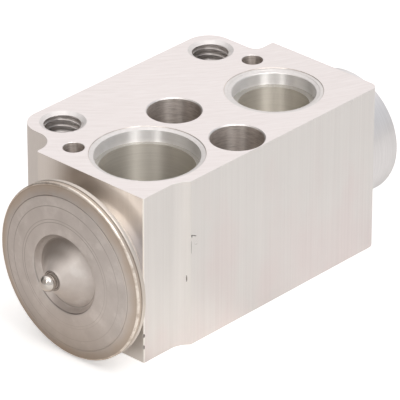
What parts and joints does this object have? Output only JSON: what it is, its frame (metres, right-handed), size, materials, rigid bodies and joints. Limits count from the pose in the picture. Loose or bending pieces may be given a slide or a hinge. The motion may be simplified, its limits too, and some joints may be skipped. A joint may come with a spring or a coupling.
{
  "type": "expansion valve",
  "caption": "Block-type expansion valve: machined aluminium block with flow ports and mounting holes, a domed power head and a turned boss that holds the adjusting screw.",
  "frame": {"origin": "on the base face, on the line through both ports and midway between them", "axes": "+X along the valve's working axis from the power head to the boss, +Y towards the ears with the tapped holes, +Z from the base face to the top face"},
  "size_m": [0.0839, 0.0434, 0.035],
  "materials": {
    "block": "milled",
    "head_steel": "pressed, heat tinted at the rim",
    "polished_steel": "polished",
    "shaft": "turned",
    "inner_steel": "turned",
    "brass": "turned",
    "rubber": "matt"
  },
  "bodies": {
    "block": {"valve_body": "block", "head_cap": "head_steel", "charge_ball": "polished_steel", "diaphragm": "head_steel", "head_housing": "head_steel", "head_oring": "rubber", "rod_oring": "rubber", "rod_retainer": "inner_steel", "valve_spring": "inner_steel"},
    "valve_train": {"follower": "inner_steel", "sensing_shaft": "shaft", "push_rod": "polished_steel", "valve_ball": "polished_steel", "ball_carrier": "inner_steel", "damper": "inner_steel"},
    "adjuster_seal": {"adjuster_oring": "rubber"},
    "adjuster": {"adjusting_screw": "brass"}
  },
  "joints": [
    {"name": "valve_lift", "type": "slide", "parent": "block", "child": "valve_train", "axis": [1, 0, 0], "range_m": [-0.0008, 0], "stiffness_N_per_m": 2000, "deforming": ["diaphragm", "valve_spring"]},
    {"name": "adjuster_travel", "type": "slide", "parent": "block", "child": "adjuster_seal", "axis": [1, 0, 0], "range_m": [-0.00105, 0.00105], "deforming": ["valve_spring"]},
    {"name": "adjuster_turn", "type": "hinge", "parent": "adjuster_seal", "child": "adjuster", "pos_m": [0.034, 0, 0.0177], "axis": [1, 0, 0], "range_deg": [-360, 360]}
  ],
  "couplings": [
    {"joint": "adjuster_travel", "follows": "adjuster_turn", "m_per_rad": 0.00015915}
  ]
}
